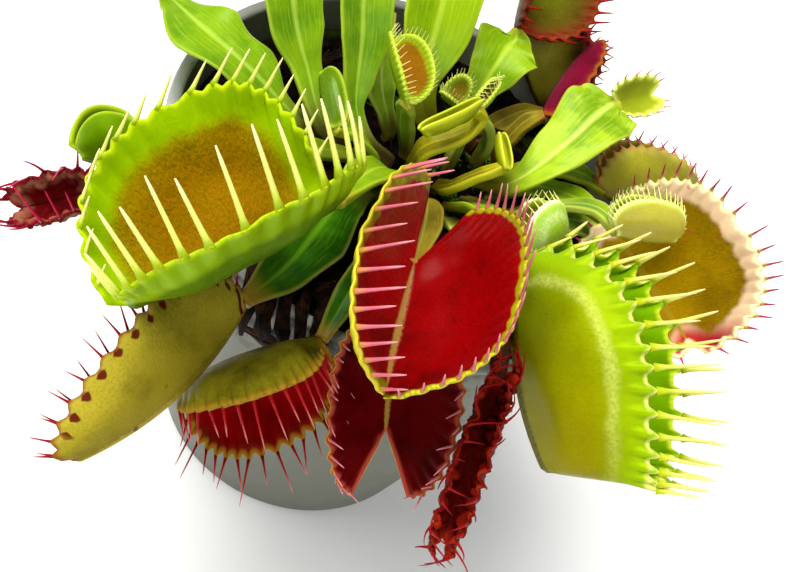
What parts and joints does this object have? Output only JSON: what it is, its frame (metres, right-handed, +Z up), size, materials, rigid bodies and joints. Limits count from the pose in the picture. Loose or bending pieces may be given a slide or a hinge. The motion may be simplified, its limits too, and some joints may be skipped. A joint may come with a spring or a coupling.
{
  "type": "potted venus flytrap",
  "caption": "Potted venus flytrap with open and shut toothed traps in lime, red and ochre, on winged leaf stalks in a round plastic nursery pot of peat.",
  "frame": {"origin": "centre of the pot's underside", "axes": "+Z up along the pot's axis, -Y towards the side that the picture was taken from"},
  "size_m": [0.1247, 0.126, 0.1088],
  "materials": {
    "pot_plastic": "smooth, slightly scuffed",
    "peat": "damp crumbly peat",
    "leaf_lime": "waxy, half gloss",
    "leaf_green": "waxy, half gloss",
    "leaf_pale": "waxy, half gloss",
    "leaf_khaki": "waxy, dull",
    "leaf_ochre": "velvety",
    "leaf_red": "velvety",
    "leaf_maroon": "velvety",
    "leaf_brown": "dry"
  },
  "bodies": {
    "root": {"pot": "pot_plastic", "peat": "peat", "leaf_lime_open": "leaf_lime", "leaf_round_shut": "leaf_lime", "leaf_withered": "leaf_brown", "leaf_khaki_shut": "leaf_khaki", "leaf_low_red": "leaf_khaki", "leaf_maroon_open": "leaf_maroon", "leaf_red_open": "leaf_red", "leaf_frilled_edge": "leaf_brown", "leaf_lime_shut": "leaf_lime", "leaf_ochre_open": "leaf_ochre", "leaf_khaki_back": "leaf_khaki", "leaf_comb_small": "leaf_pale", "leaf_wedge": "leaf_lime", "leaf_pale_small": "leaf_pale", "leaf_dark_shut": "leaf_maroon", "leaf_dark_pointed": "leaf_maroon", "leaf_tall_left": "leaf_green", "leaf_tall_mid": "leaf_green", "leaf_tall_folded": "leaf_green", "leaf_tall_right": "leaf_lime", "leaf_short_wedge": "leaf_lime", "leaf_bud_shut": "leaf_lime", "leaf_young_orange": "leaf_ochre", "leaf_young_small": "leaf_pale", "leaf_young_pale": "leaf_pale", "leaf_young_tiny": "leaf_pale", "leaf_looped": "leaf_lime", "leaf_narrow_front": "leaf_green", "leaf_narrow_right": "leaf_green", "leaf_narrow_rear": "leaf_green"}
  },
  "joints": []
}
